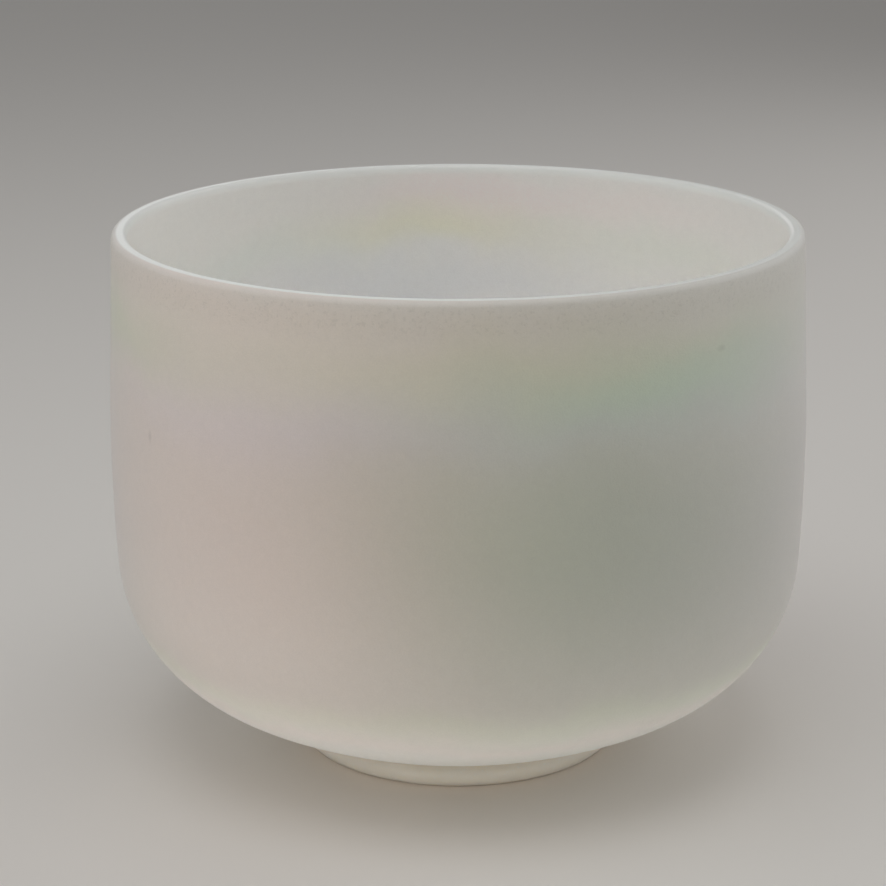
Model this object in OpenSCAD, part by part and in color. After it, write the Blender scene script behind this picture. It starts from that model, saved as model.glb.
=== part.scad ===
// Singing bowl: a one-piece fused-quartz bowl that stands on a loose silicone O-ring.
// Millimetres, +Z up. The origin is on the bowl's axis, at the surface the ring lies on.
// The bowl is one revolved wall of even thickness. From its rim down, its outside is a
// straight wall that leans outward, a long belly arc, a tight shoulder arc and a dished
// bottom, and each runs smoothly into the next.

/* [Bowl] */
// Outside diameter at the rim
rim_d = 200; // [190:1:210]
// Height from the lowest point of the bottom to the rim
bowl_h = 156; // [150:1:165]
// Thickness of the quartz wall
wall_t = 4.3; // [3.5:0.1:6]
// Lean of the straight upper wall, in degrees, wider towards the bottom
wall_lean = 2.5; // [1.5:0.1:3.5]
// Height of the straight upper wall
straight_h = 43; // [35:1:50]
// Outside radius of the belly arc
belly_r = 556; // [520:1:600]
// Outside radius of the shoulder arc
shoulder_r = 47; // [40:1:55]
// Outside radius of the dished bottom
dish_r = 161; // [155:1:180]

/* [Rim] */
// Radius that rounds the outer edge of the rim
rim_round_r = 1.8; // [0.5:0.1:2]
// Width and depth of the bevel on the inner edge of the rim
rim_bevel = 0.8; // [0.3:0.1:1]

/* [Support ring] */
// Diameter of the ring, to the middle of its section
ring_d = 90; // [70:1:90]
// Thickness of the ring's round section
ring_section_d = 7; // [7:0.5:10]
// Depth of the flat that the ring is pressed to where it lies on the surface
ring_flat = 0.2; // [0.1:0.05:0.4]
// Gap between the top of the ring and the bowl
ring_gap = 0.2; // [0.1:0.05:0.4]

/* [Hidden] */

$fn = 360;

// Outlines that would only touch where they meet overlap by this much, so that they cross
hair = 0.003;

// Unit vector at an angle from the radial direction, in the plane of the wall's section
function along(angle) = [cos(angle), sin(angle)];

// Angle of the line from one point to another
function angle_between(start, end) = atan2(end.y - start.y, end.x - start.x);

// The lower of the two points that lie r1 from c1 and r2 from c2, with c2 to the right of c1
function lower_meeting(c1, r1, c2, r2) =
    let (gap = norm(c2 - c1))
    let (on_line = (r1 ^ 2 - r2 ^ 2 + gap ^ 2) / (2 * gap))
    let (off_line = sqrt(r1 ^ 2 - on_line ^ 2))
    let (line = (c2 - c1) / gap)
    c1 + on_line * line + off_line * [line.y, -line.x];

// Radius of the straight upper wall at a height, this far in from its outside
function wall_at(z, inset) = rim_d / 2 + (bowl_h - z) * tan(wall_lean) - inset / cos(wall_lean);

// Where the straight wall ends and the belly starts, and the centres of the three arcs.
// The shoulder's disc touches the belly's and the dish's from within.
foot_z = bowl_h - straight_h;
belly_c = [wall_at(foot_z, 0), foot_z] - belly_r * along(wall_lean);
dish_c = [0, dish_r];
shoulder_c = lower_meeting(belly_c, belly_r - shoulder_r, dish_c, dish_r - shoulder_r);

// Directions from the shoulder's centre to where the belly and the dish run into it
belly_end = angle_between(belly_c, shoulder_c);
dish_end = angle_between(dish_c, shoulder_c);

// Centre of the rim's outer rounding
round_c = [wall_at(bowl_h - rim_round_r, rim_round_r), bowl_h - rim_round_r];

// Height of the ring's centreline, and of the bowl's lowest point when it rests on the ring
ring_z = ring_section_d / 2 - ring_flat;
reach = dish_r + ring_gap + ring_section_d / 2;
bowl_z = ring_z + sqrt(reach ^ 2 - (ring_d / 2) ^ 2) - dish_r;

module disc(centre, r) {
    translate(centre) circle(r = r);
}

// Half section of a solid bowl, this far in from the outside of the real one
module solid_section(inset) {
    foot = [wall_at(foot_z, inset), foot_z];
    top = [wall_at(bowl_h, inset), bowl_h];
    polygon([[0, foot_z - straight_h / 2], foot, top, [0, bowl_h]]);
    difference() {
        intersection() {
            disc(belly_c, belly_r - inset + hair);
            disc(dish_c, dish_r - inset);
            lower_right();
        }
        corner_block();
    }
    intersection() {
        disc(shoulder_c, shoulder_r - inset + 2 * hair);
        lower_right();
    }
}

// The half plane right of the axis, from below the bowl to partway up its straight wall
module lower_right() {
    translate([0, -1]) square([rim_d, foot_z + straight_h / 2]);
}

// Everything outside the shoulder's arc, between where it meets the belly and the dish
module corner_block() {
    far = 2 * shoulder_r;
    middle = (belly_end + dish_end) / 2;
    translate(shoulder_c)
        polygon([[0, 0], far * along(dish_end), 2 * far * along(middle), far * along(belly_end)]);
}

// What is ground off the rim: its outer corner, which is then rounded, and its inner edge
module rim_cut() {
    outer = [wall_at(round_c.y, 0), round_c.y];
    inner = [wall_at(bowl_h, wall_t), bowl_h];
    polygon([outer, [rim_d, round_c.y], [rim_d, bowl_h + 1], [round_c.x, bowl_h + 1], [round_c.x, bowl_h]]);
    translate(inner) rotate(45) square([rim_bevel * sqrt(2), rim_bevel * sqrt(2)], center = true);
}

module wall_section() {
    difference() {
        solid_section(0);
        solid_section(wall_t);
        rim_cut();
    }
    disc(round_c, rim_round_r + hair);
}

module bowl() {
    color([0.76, 0.72, 0.69])
        translate([0, 0, bowl_z])
            rotate_extrude() wall_section();
}

module support_ring() {
    color([0.72, 0.63, 0.52])
        rotate_extrude()
            intersection() {
                translate([ring_d / 2, ring_z]) circle(d = ring_section_d);
                translate([ring_d / 2 - ring_section_d, 0]) square(2 * ring_section_d);
            }
}

bowl();
support_ring();
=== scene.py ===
"""Frosted quartz singing bowl on its silicone support ring. Metres, in the CAD frame."""
import math

import bpy
from mathutils import Matrix, Vector


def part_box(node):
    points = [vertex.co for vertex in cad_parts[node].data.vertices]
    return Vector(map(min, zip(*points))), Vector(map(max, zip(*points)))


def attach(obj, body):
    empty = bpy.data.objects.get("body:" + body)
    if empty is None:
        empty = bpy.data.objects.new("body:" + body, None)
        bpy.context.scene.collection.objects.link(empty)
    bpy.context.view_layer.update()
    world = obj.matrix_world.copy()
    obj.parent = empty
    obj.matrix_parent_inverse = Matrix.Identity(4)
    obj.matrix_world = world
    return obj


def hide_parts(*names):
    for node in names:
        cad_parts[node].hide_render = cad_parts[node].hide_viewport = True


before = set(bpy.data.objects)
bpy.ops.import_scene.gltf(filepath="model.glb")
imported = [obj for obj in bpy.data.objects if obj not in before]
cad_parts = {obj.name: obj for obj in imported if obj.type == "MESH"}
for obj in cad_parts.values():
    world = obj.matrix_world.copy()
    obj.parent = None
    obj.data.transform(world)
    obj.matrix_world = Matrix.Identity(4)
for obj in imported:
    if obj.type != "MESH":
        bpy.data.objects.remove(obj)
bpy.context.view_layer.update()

MM = 0.001

# Driving dimensions of the bowl's section. Heights are above its lowest point.
bowl_low, bowl_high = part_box("bowl")
BOWL_Z = bowl_low[2]
BOWL_H = 156 * MM
RIM_R = 100 * MM
WALL = 4.3 * MM
LEAN = math.radians(2.5)
STRAIGHT_H = 43 * MM
BELLY_R = 556 * MM
SHOULDER_R = 47 * MM
DISH_R = 161 * MM
ROUND_R = 1.8 * MM
BEVEL = 0.8 * MM

# The support ring
ring_low, ring_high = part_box("support_ring")
RING_R = 45 * MM
RING_SECTION_R = ring_high[0] - RING_R
RING_FLAT = 2 * RING_SECTION_R - (ring_high[2] - ring_low[2])

# How finely the shapes are divided
BOWL_SEGMENTS = 384
SKIN_STEPS = (22, 26, 22, 20)  # on the dish, the shoulder, the belly and the straight wall
ROUND_STEPS = 8
LAND_STEPS = 3
BEVEL_STEPS = 2
RING_SEGMENTS = 256
RING_SECTION_STEPS = 40
ON_AXIS = 1e-6


# ---------------------------------------------------------------- shapes

def smoothstep(low, high, x):
    t = min(max((x - low) / (high - low), 0.0), 1.0)
    return t * t * (3 - 2 * t)


def arc(centre, radius, start, end, count):
    """Points on an arc in the section plane, both ends included."""
    points = []
    for i in range(count + 1):
        a = start + (end - start) * i / count
        points.append((centre[0] + radius * math.cos(a), centre[1] + radius * math.sin(a)))
    return points


def line(start, end, count):
    """Points on a line, both ends included."""
    return [(start[0] + (end[0] - start[0]) * i / count,
             start[1] + (end[1] - start[1]) * i / count) for i in range(count + 1)]


def wall_at(z, inset):
    return RIM_R + (BOWL_H - z) * math.tan(LEAN) - inset / math.cos(LEAN)


def section_centres():
    """Centres of the belly, dish and shoulder arcs, each tangent to the next."""
    foot_z = BOWL_H - STRAIGHT_H
    belly = (wall_at(foot_z, 0) - BELLY_R * math.cos(LEAN), foot_z - BELLY_R * math.sin(LEAN))
    dish = (0.0, DISH_R)
    r1, r2 = BELLY_R - SHOULDER_R, DISH_R - SHOULDER_R
    gap = math.dist(belly, dish)
    along = (r1 ** 2 - r2 ** 2 + gap ** 2) / (2 * gap)
    off = math.sqrt(r1 ** 2 - along ** 2)
    ux, uz = (dish[0] - belly[0]) / gap, (dish[1] - belly[1]) / gap
    shoulder = (belly[0] + along * ux + off * uz, belly[1] + along * uz - off * ux)
    return belly, dish, shoulder


def skin(inset, top):
    """One side of the wall, from the axis up to the height `top`."""
    belly, dish, shoulder = section_centres()
    a_dish = math.atan2(shoulder[1] - dish[1], shoulder[0] - dish[0])
    a_belly = math.atan2(shoulder[1] - belly[1], shoulder[0] - belly[0])
    n_dish, n_shoulder, n_belly, n_wall = SKIN_STEPS
    points = arc(dish, DISH_R - inset, -math.pi / 2, a_dish, n_dish)
    points += arc(shoulder, SHOULDER_R - inset, a_dish, a_belly, n_shoulder)[1:]
    points += arc(belly, BELLY_R - inset, a_belly, LEAN, n_belly)[1:]
    foot = points[-1]
    points += line(foot, (wall_at(top, inset), top), n_wall)[1:]
    return points


def bowl_profile():
    """The whole section as (radius, height, side, polish), from the bottom's underside
    over the rim to the bottom's inside. side is 0 outside and 1 inside. polish is 1 on the
    ground land and bevel, and fades out over the last quarter of the rounding."""
    round_z = BOWL_H - ROUND_R
    round_c = (wall_at(round_z, ROUND_R), round_z)
    inner_r = wall_at(BOWL_H, WALL)
    outside = skin(0, round_z + ROUND_R * math.sin(LEAN))
    rounding = arc(round_c, ROUND_R, LEAN, math.pi / 2, ROUND_STEPS)
    land = line((round_c[0], BOWL_H), (inner_r + BEVEL, BOWL_H), LAND_STEPS)
    bevel = line((inner_r + BEVEL, BOWL_H), (inner_r, BOWL_H - BEVEL), BEVEL_STEPS)
    inside = skin(WALL, BOWL_H - BEVEL)[::-1]
    profile = [(r, z, 0.0, 0.0) for r, z in outside]
    for i, (r, z) in enumerate(rounding[1:], 1):
        profile.append((r, z, 0.0, smoothstep(0.75 * ROUND_STEPS, ROUND_STEPS, i)))
    profile += [(r, z, 0.5, 1.0) for r, z in land[1:]]
    profile += [(r, z, 1.0, 1.0) for r, z in bevel[1:]]
    profile += [(r, z, 1.0, 0.0) for r, z in inside[1:]]
    return profile


def revolve(name, profile, segments, closed, place):
    """A mesh turned about Z. Each profile point is (radius, height, ...); place moves one
    vertex. A profile that isn't closed starts and ends on the axis."""
    verts, faces, rows = [], [], []
    for i, point in enumerate(profile):
        if point[0] < ON_AXIS:
            rows.append([len(verts)] * segments)
            verts.append(place(i, 0, 0.0, point[1]))
        else:
            rows.append(list(range(len(verts), len(verts) + segments)))
            for j in range(segments):
                verts.append(place(i, 2 * math.pi * j / segments, point[0], point[1]))
    pairs = list(zip(rows, rows[1:] + rows[:1] if closed else rows[1:]))
    for low, high in pairs:
        for j in range(segments):
            k = (j + 1) % segments
            face = [low[j], low[k], high[k], high[j]]
            faces.append([v for n, v in enumerate(face) if v not in face[:n]])
    mesh = bpy.data.meshes.new(name)
    mesh.from_pydata(verts, [], faces)
    mesh.validate()
    mesh.update()
    piece = bpy.data.objects.new(name, mesh)
    bpy.context.collection.objects.link(piece)
    for poly in mesh.polygons:
        poly.use_smooth = True
    return piece, rows


def vertex_values(piece, name, rows, values):
    """Writes one value per profile point as a float attribute of the vertices."""
    attribute = piece.data.attributes.new(name, "FLOAT", "POINT")
    for row, value in zip(rows, values):
        for v in row:
            attribute.data[v].value = value


def make_bowl(material):
    profile = bowl_profile()

    def place(i, angle, r, z):
        return (r * math.sin(angle), -r * math.cos(angle), z + BOWL_Z)

    bowl, rows = revolve("quartz_bowl", profile, BOWL_SEGMENTS, False, place)
    vertex_values(bowl, "inside", rows, [p[2] for p in profile])
    vertex_values(bowl, "polish", rows, [p[3] for p in profile])
    bowl.data.materials.append(material)
    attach(bowl, "bowl")
    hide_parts("bowl")


def make_ring(material):
    centre_z = RING_SECTION_R - RING_FLAT
    profile = []
    for i in range(RING_SECTION_STEPS):
        a = 2 * math.pi * i / RING_SECTION_STEPS
        profile.append((RING_R + RING_SECTION_R * math.cos(a),
                        max(centre_z + RING_SECTION_R * math.sin(a), 0.0)))

    def place(i, angle, r, z):
        return (r * math.sin(angle), -r * math.cos(angle), z)

    ring, _ = revolve("silicone_ring", profile, RING_SEGMENTS, True, place)
    ring.data.materials.append(material)
    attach(ring, "ring")
    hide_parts("support_ring")


# ---------------------------------------------------------------- materials

class Graph:
    """Short calls for the nodes of one material."""

    def __init__(self, name):
        self.material = bpy.data.materials.new(name)
        self.material.use_nodes = True
        self.tree = self.material.node_tree
        self.tree.nodes.clear()
        self.shader = self.node("ShaderNodeBsdfPrincipled")
        out = self.node("ShaderNodeOutputMaterial")
        self.tree.links.new(self.shader.outputs[0], out.inputs[0])

    def node(self, kind, **settings):
        node = self.tree.nodes.new(kind)
        for key, value in settings.items():
            setattr(node, key, value)
        return node

    def put(self, socket, value):
        if isinstance(value, bpy.types.NodeSocket):
            self.tree.links.new(value, socket)
        else:
            socket.default_value = value

    def math(self, operation, a, b=0.0, c=0.0):
        node = self.node("ShaderNodeMath", operation=operation)
        for socket, value in zip(node.inputs, (a, b, c)):
            self.put(socket, value)
        return node.outputs[0]

    def add(self, *values):
        total = values[0]
        for value in values[1:]:
            total = self.math("ADD", total, value)
        return total

    def mul(self, *values):
        total = values[0]
        for value in values[1:]:
            total = self.math("MULTIPLY", total, value)
        return total

    def ramp(self, value, low, high, to_low=0.0, to_high=1.0):
        """A smooth step from one value to another."""
        node = self.node("ShaderNodeMapRange", interpolation_type="SMOOTHSTEP")
        for socket, v in zip(node.inputs, (value, low, high, to_low, to_high)):
            self.put(socket, v)
        return node.outputs[0]

    def noise(self, where, scale, detail=2.0, rough=0.5):
        node = self.node("ShaderNodeTexNoise")
        self.put(node.inputs["Vector"], where)
        self.put(node.inputs["Scale"], scale)
        self.put(node.inputs["Detail"], detail)
        self.put(node.inputs["Roughness"], rough)
        return node.outputs[0]

    def mix(self, factor, a, b):
        node = self.node("ShaderNodeMix", data_type="RGBA")
        self.put(node.inputs[0], factor)
        self.put(node.inputs[6], a)
        self.put(node.inputs[7], b)
        return node.outputs[2]

    def combine(self, x, y, z):
        node = self.node("ShaderNodeCombineXYZ")
        for socket, value in zip(node.inputs, (x, y, z)):
            self.put(socket, value)
        return node.outputs[0]

    def vector(self, operation, *values, scale=None):
        node = self.node("ShaderNodeVectorMath", operation=operation)
        for socket, value in zip(node.inputs, values):
            self.put(socket, value)
        if scale is not None:
            self.put(node.inputs["Scale"], scale)
        return node.outputs[0]

    def where(self):
        """Object coordinates, whole and split."""
        coords = self.node("ShaderNodeTexCoord").outputs["Object"]
        split = self.node("ShaderNodeSeparateXYZ")
        self.put(split.inputs[0], coords)
        return (coords, *split.outputs)

    def attribute(self, name):
        node = self.node("ShaderNodeAttribute", attribute_name=name)
        return node.outputs["Fac"]

    def bump(self, height, distance, strength=1.0):
        node = self.node("ShaderNodeBump")
        self.put(node.inputs["Height"], height)
        self.put(node.inputs["Distance"], distance)
        self.put(node.inputs["Strength"], strength)
        return node.outputs[0]

    def set(self, **values):
        for key, value in values.items():
            self.put(self.shader.inputs[key.replace("_", " ")], value)


# The frosted skins carry a very thin film, which tints them like a soap bubble, and most of the
# patches below are its tints; the shade_front patch and the darkening in the sage patch on the
# front right are painted shade, and pale_under_rim makes the front left just under the rim paler.
# Each patch: azimuth and spread in degrees, height and reach in mm, and what it adds to red, green,
# blue.
# Azimuth 0 faces the camera and grows towards +X; a spread of 360 goes all the way round.
OUTSIDE_FILM_AND_SHADE = {
    "rose_front_left": (-36, 42, 95, 70, (0.15, 0.0, 0.0)),
    # partly a sage film tint, partly painted shade on the front right
    "sage_and_shade_front_right": (27, 38, 92, 44, (-0.13, -0.09, -0.11)),
    # painted shade: the front right made darker
    "shade_front": (27, 50, 68, 55, (-0.20, -0.20, -0.19)),
    "green_under_rim": (32, 32, 131, 10, (-0.09, 0.03, -0.04)),
    "straw_under_rim": (12, 45, 141, 8, (-0.01, 0.0, -0.06)),
    "teal_band": (15, 50, 121, 8, (-0.01, 0.0, 0.04)),
    "straw_front": (5, 25, 95, 40, (-0.05, 0.0, -0.04)),
    "lilac_front_left": (-32, 34, 119, 11, (0.0, 0.0, 0.05)),
    "lilac_right": (75, 30, 95, 60, (0.0, 0.0, 0.04)),
    "green_left": (-70, 25, 134, 10, (-0.08, 0.0, -0.08)),
    "rose_back": (150, 45, 85, 50, (0.15, 0.0, 0.04)),
    "sage_back": (-145, 35, 100, 45, (-0.12, -0.04, -0.09)),
    "green_back": (-160, 40, 133, 10, (-0.12, 0.02, -0.04)),
    "lilac_left": (-105, 30, 80, 50, (0.0, -0.03, 0.06)),
    "rose_rim": (-30, 55, 150, 10, (0.05, 0.0, 0.0)),
    "pale_under_rim": (-22, 48, 148, 28, (0.13, 0.11, 0.07)),
    "green_foot": (0, 360, 37, 5, (-0.01, 0.02, -0.03)),
    "lilac_foot": (0, 360, 29, 4, (0.05, 0.0, 0.0)),
}
INSIDE_FILM = {
    "rose_back": (180, 20, 145, 7, (0.10, -0.06, -0.03)),
    "rose_right": (145, 26, 146, 8, (0.08, -0.03, -0.02)),
    "straw_back": (-175, 22, 135, 7, (0.02, 0.0, -0.20)),
    "green_left": (-135, 32, 130, 9, (-0.07, 0.0, -0.02)),
    "blue_back": (-170, 45, 114, 13, (-0.16, -0.10, -0.01)),
    "straw_right": (135, 24, 132, 8, (-0.05, 0.0, -0.06)),
    "rose_front": (20, 40, 120, 30, (0.12, 0.0, 0.03)),
    "green_front": (-30, 40, 135, 12, (-0.10, 0.0, -0.04)),
    "lilac_low": (0, 360, 80, 30, (0.03, 0.0, 0.06)),
}
# Painted light: how much paler the outside gets towards the foot, between two heights in mm, in
# place of light that shines through the bottom; and how much paler the whole inside is, in place
# of light falling into the bowl, with a little more of it in blue
FOOT_PAINTED_GLOW = 0.31
FOOT_FADE = (46, 22)
INSIDE_PAINTED_LIGHT = 0.27
INSIDE_BLUE = 0.02
# The speckled band under the lip: where it fades in and where it fades out, in mm
SPECKS_IN = (143, 150)
SPECKS_OUT = (156, 153.5)
# Two small marks on the outside: azimuth, height, half width and half height in mm
MARKS = ((43.8, 137.0, 2.2, 1.2), (-55.9, 108.3, 1.2, 2.2))
QUARTZ = (0.74, 0.73, 0.678)
# The ground lip's colour: near white and brighter than the skins, partly painted light for the
# light the wall carries up to the lip
LIP_WITH_PAINTED_GLOW = (0.96, 0.99, 0.92, 1.0)
LIP_ROUGHNESS = 0.32


def film_and_shade(g, patches, around, front, height):
    """Sum of what the patches add to the colour: film tints, and painted shade where a patch holds
    it. around and front are the sine and cosine of the azimuth.
    """
    total = (0.0, 0.0, 0.0)
    for azimuth, spread, z, reach, tint in patches.values():
        rise = g.mul(g.add(height, -z * MM), 1 / (reach * MM))
        drop = g.mul(rise, rise)
        if spread < 360:
            a = math.radians(azimuth)
            facing = g.add(g.mul(around, math.sin(a)), g.mul(front, math.cos(a)))
            sharp = 1 / (1 - math.cos(math.radians(spread)))
            drop = g.add(drop, g.mul(g.math("SUBTRACT", 1.0, facing), sharp))
        weight = g.math("EXPONENT", g.mul(drop, -1.0))
        total = g.vector("MULTIPLY_ADD", g.combine(weight, weight, weight), tint, total)
    return total


def mark(g, around, front, height, azimuth, z, width, tall):
    """How much of a small mark covers a point of the outside."""
    a = math.radians(azimuth)
    across = g.add(g.mul(around, math.cos(a)), g.mul(front, -math.sin(a)))
    facing = g.add(g.mul(around, math.sin(a)), g.mul(front, math.cos(a)))
    u = g.mul(across, RIM_R / (width * MM))
    v = g.mul(g.add(height, -z * MM), 1 / (tall * MM))
    away = g.math("SQRT", g.add(g.mul(u, u), g.mul(v, v)))
    return g.mul(g.ramp(away, 1.1, 0.2), g.math("GREATER_THAN", facing, 0.0))


def quartz_material():
    """Fused quartz: sand-rough translucent skins, and a ground and polished lip."""
    g = Graph("frosted_quartz")
    where, x, y, z = g.where()
    height = g.add(z, -BOWL_Z)
    radius = g.math("MAXIMUM", g.math("SQRT", g.add(g.mul(x, x), g.mul(y, y))), 1 * MM)
    around = g.math("DIVIDE", x, radius)
    front = g.math("DIVIDE", g.mul(y, -1.0), radius)
    inside = g.attribute("inside")
    polish = g.attribute("polish")
    outside = g.math("SUBTRACT", 1.0, inside)

    # Slow wandering of the film and of the painted shade, so that no patch is a clean oval
    drift = g.mul(g.add(g.noise(where, 28, 3.0), -0.5), 22 * MM)
    swayed = g.add(height, drift)
    outer = film_and_shade(g, OUTSIDE_FILM_AND_SHADE, around, front, swayed)
    inner = film_and_shade(g, INSIDE_FILM, around, front, swayed)
    tint = g.vector("ADD", g.vector("SCALE", outer, scale=outside),
                    g.vector("SCALE", inner, scale=inside))
    # Painted light: the outside paler towards the foot, for light shining through the bottom, and
    # the whole inside paler, for light falling into the bowl
    foot = g.mul(g.ramp(height, FOOT_FADE[0] * MM, FOOT_FADE[1] * MM), outside, FOOT_PAINTED_GLOW)
    painted_light = g.add(foot, g.mul(inside, INSIDE_PAINTED_LIGHT))
    painted_light = g.combine(painted_light, painted_light, g.add(painted_light, g.mul(inside, INSIDE_BLUE)))
    colour = g.vector("MULTIPLY", QUARTZ, g.vector("ADD", g.vector("ADD", tint, painted_light), (1, 1, 1)))

    # Sand-blast grain, and darker specks gathered in a band just under the lip
    grain = g.noise(where, 2400, 2.0, 0.6)
    clouds = g.noise(where, 420, 3.0, 0.6)
    band = g.mul(g.ramp(height, SPECKS_IN[0] * MM, SPECKS_IN[1] * MM),
                 g.ramp(height, SPECKS_OUT[0] * MM, SPECKS_OUT[1] * MM), outside)
    specks = g.mul(g.ramp(g.noise(where, 900, 2.0, 0.7), 0.52, 0.70), band)
    shade = g.add(1.0, g.mul(g.add(grain, -0.5), 0.11), g.mul(g.add(clouds, -0.5), 0.06),
                  g.mul(specks, -0.07), g.mul(band, -0.02))
    for values in MARKS:
        shade = g.add(shade, g.mul(mark(g, around, front, height, *values), outside, -0.10))
    colour = g.vector("SCALE", colour, scale=shade)
    # the lip takes its near-white colour, partly painted glow
    colour = g.mix(polish, colour, LIP_WITH_PAINTED_GLOW)

    rough = g.add(0.60, g.mul(g.add(clouds, -0.5), 0.16), g.mul(g.add(grain, -0.5), 0.10))
    rough = g.math("MULTIPLY_ADD", polish, g.math("SUBTRACT", LIP_ROUGHNESS, rough), rough)
    relief = g.mul(g.add(g.mul(grain, 0.6), g.mul(clouds, 0.5), g.mul(specks, 0.6)),
                   g.math("SUBTRACT", 1.0, g.mul(polish, 0.92)))
    g.set(**{"Base_Color": colour,
             "Roughness": rough,
             "Normal": g.bump(relief, 0.08 * MM),
             "Subsurface_Weight": 0.55,
             "Subsurface_Scale": 0.015,
             "Subsurface_Radius": (1.0, 0.95, 0.9),
             "Specular_IOR_Level": 0.5,
             "IOR": 1.46})
    return g.material


def silicone_material():
    """Translucent amber silicone, smooth from the mould, with a trace of dust."""
    g = Graph("amber_silicone")
    where, x, y, z = g.where()
    cloud = g.noise(where, 120, 3.0, 0.5)
    dust = g.ramp(g.noise(where, 1400, 2.0, 0.6), 0.56, 0.75)
    base = g.mix(cloud, (0.98, 0.86, 0.72, 1.0), (0.95, 0.81, 0.65, 1.0))
    colour = g.mix(g.mul(dust, 0.35), base, (0.93, 0.90, 0.85, 1.0))
    rough = g.add(0.30, g.mul(cloud, 0.10), g.mul(dust, 0.25))
    g.set(**{"Base_Color": colour,
             "Roughness": rough,
             "Normal": g.bump(g.add(g.mul(cloud, 0.7), g.mul(dust, 0.3)), 0.05 * MM),
             "Subsurface_Weight": 0.85,
             "Subsurface_Scale": 0.012,
             "Subsurface_Radius": (1.0, 0.95, 0.85),
             "Specular_IOR_Level": 0.4,
             "IOR": 1.41})
    return g.material


def floor_material():
    g = Graph("floor")
    g.set(**{"Base_Color": (0.84, 0.81, 0.77, 1.0), "Roughness": 0.8})
    return g.material


# ---------------------------------------------------------------- stage

FLOOR_HALF = 12.0


def make_floor():
    corners = [(x * FLOOR_HALF, y * FLOOR_HALF, 0) for x, y in ((-1, -1), (1, -1), (1, 1), (-1, 1))]
    mesh = bpy.data.meshes.new("floor")
    mesh.from_pydata(corners, [], [(0, 1, 2, 3)])
    floor = bpy.data.objects.new("floor", mesh)
    bpy.context.collection.objects.link(floor)
    floor.data.materials.append(floor_material())


# name: (azimuth from the camera's side towards +X, elevation, distance, height of the point
# it faces, size, spread in degrees, watts, colour)
LIGHTS = {
    "left": (-75, 25, 1.2, 0.08, 1.4, 180, 2.7, (1.0, 1.0, 1.0)),
    "right": (85, 20, 1.2, 0.08, 1.2, 180, 2.0, (1.0, 1.0, 1.0)),
    "right_back": (130, 30, 1.2, 0.08, 1.2, 180, 1.9, (1.0, 1.0, 1.0)),
    "back_left": (-168, 18, 7.0, 0.08, 4.0, 180, 30.0, (1.0, 1.0, 1.0)),
    "front_top": (-15, 76, 1.3, 0.08, 1.2, 180, 5.2, (1.0, 1.0, 1.0)),
    "overhead": (0, 90, 0.5, 0.08, 0.05, 19, 0.028, (1.0, 1.0, 1.0)),
    "low_left": (-28, 3, 0.6, 0.01, 0.07, 25, 0.0070, (1.0, 0.97, 0.92)),
    "low_right": (24, 3, 0.6, 0.01, 0.07, 25, 0.0060, (1.0, 0.97, 0.92)),
}
WORLD = 0.17


def make_lights():
    for name, (azimuth, elevation, distance, aim, size, spread, watts, colour) in LIGHTS.items():
        light = bpy.data.lights.new(name, "AREA")
        light.shape = "DISK"
        light.size = size
        light.spread = math.radians(spread)
        light.energy = watts
        light.color = colour
        lamp = bpy.data.objects.new(name, light)
        bpy.context.collection.objects.link(lamp)
        a, e = math.radians(azimuth), math.radians(elevation)
        way = Vector((math.sin(a) * math.cos(e), -math.cos(a) * math.cos(e), math.sin(e)))
        lamp.location = Vector((0, 0, aim)) + distance * way
        lamp.rotation_euler = way.to_track_quat("Z", "Y").to_euler()
    world = bpy.data.worlds.new("studio")
    world.use_nodes = True
    background = world.node_tree.nodes["Background"]
    background.inputs["Color"].default_value = (1.0, 1.0, 1.0, 1.0)
    background.inputs["Strength"].default_value = WORLD
    bpy.context.scene.world = world


# Where the camera is, its lens and sensor in mm, how far it looks down in degrees, and its
# small turn and roll in radians
CAMERA_AT = (0, -0.7234, 0.3025)
LENS = 102.84
SENSOR = 36
LOOK_DOWN = 16.35
TURN = 0.0062
ROLL = -0.0029


def make_camera():
    camera = bpy.data.cameras.new("camera")
    camera.lens = LENS
    camera.sensor_width = SENSOR
    holder = bpy.data.objects.new("camera", camera)
    bpy.context.collection.objects.link(holder)
    aim = (Matrix.Rotation(TURN, 4, "Z")
           @ Matrix.Rotation(math.radians(90 - LOOK_DOWN), 4, "X")
           @ Matrix.Rotation(ROLL, 4, "Z"))
    holder.matrix_world = Matrix.Translation(CAMERA_AT) @ aim
    bpy.context.scene.camera = holder


make_camera()
make_floor()
make_lights()
make_bowl(quartz_material())
make_ring(silicone_material())

bpy.context.scene.view_settings.view_transform = "Standard"
